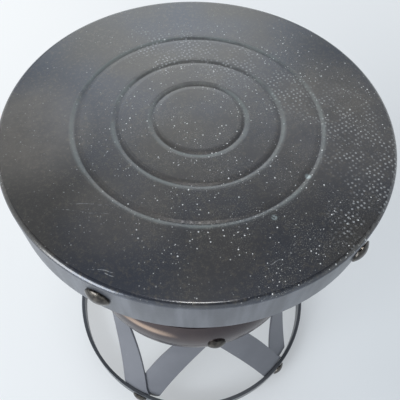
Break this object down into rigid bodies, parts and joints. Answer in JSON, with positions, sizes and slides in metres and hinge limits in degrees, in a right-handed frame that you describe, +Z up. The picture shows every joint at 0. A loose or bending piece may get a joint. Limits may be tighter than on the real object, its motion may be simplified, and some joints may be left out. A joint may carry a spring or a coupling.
{
  "type": "round pedestal table",
  "caption": "Low round table: grooved steel top on an hourglass pedestal of criss-cross flat straps riveted to the rim, a waist hoop and a floor ring",
  "frame": {"origin": "on the floor, on the centre line of the table", "axes": "+Z up through the middle of the top; -Y through the first waist rivet; +X to the right of it"},
  "size_m": [0.3619, 0.3673, 0.43],
  "materials": {
    "top_paint": "semi-gloss charcoal paint, dusty, with light scratches",
    "hoop_paint": "glossy dark brown-black paint",
    "ring_paint": "satin charcoal paint",
    "strap_steel": "satin grey paint on flat bar",
    "rivet_bronze": "dark antique bronze, glossy"
  },
  "bodies": {
    "root": {"top_pan": "top_paint", "waist_hoop": "hoop_paint", "base_ring": "ring_paint", "outer_strap_1": "strap_steel", "outer_strap_2": "strap_steel", "outer_strap_3": "strap_steel", "outer_strap_4": "strap_steel", "outer_strap_5": "strap_steel", "inner_strap_1": "strap_steel", "inner_strap_2": "strap_steel", "inner_strap_3": "strap_steel", "inner_strap_4": "strap_steel", "inner_strap_5": "strap_steel", "skirt_rivet_1": "rivet_bronze", "skirt_rivet_2": "rivet_bronze", "skirt_rivet_3": "rivet_bronze", "skirt_rivet_4": "rivet_bronze", "skirt_rivet_5": "rivet_bronze", "waist_rivet_1": "rivet_bronze", "waist_rivet_2": "rivet_bronze", "waist_rivet_3": "rivet_bronze", "waist_rivet_4": "rivet_bronze", "waist_rivet_5": "rivet_bronze", "base_rivet_1": "rivet_bronze", "base_rivet_2": "rivet_bronze", "base_rivet_3": "rivet_bronze", "base_rivet_4": "rivet_bronze", "base_rivet_5": "rivet_bronze"}
  },
  "joints": []
}
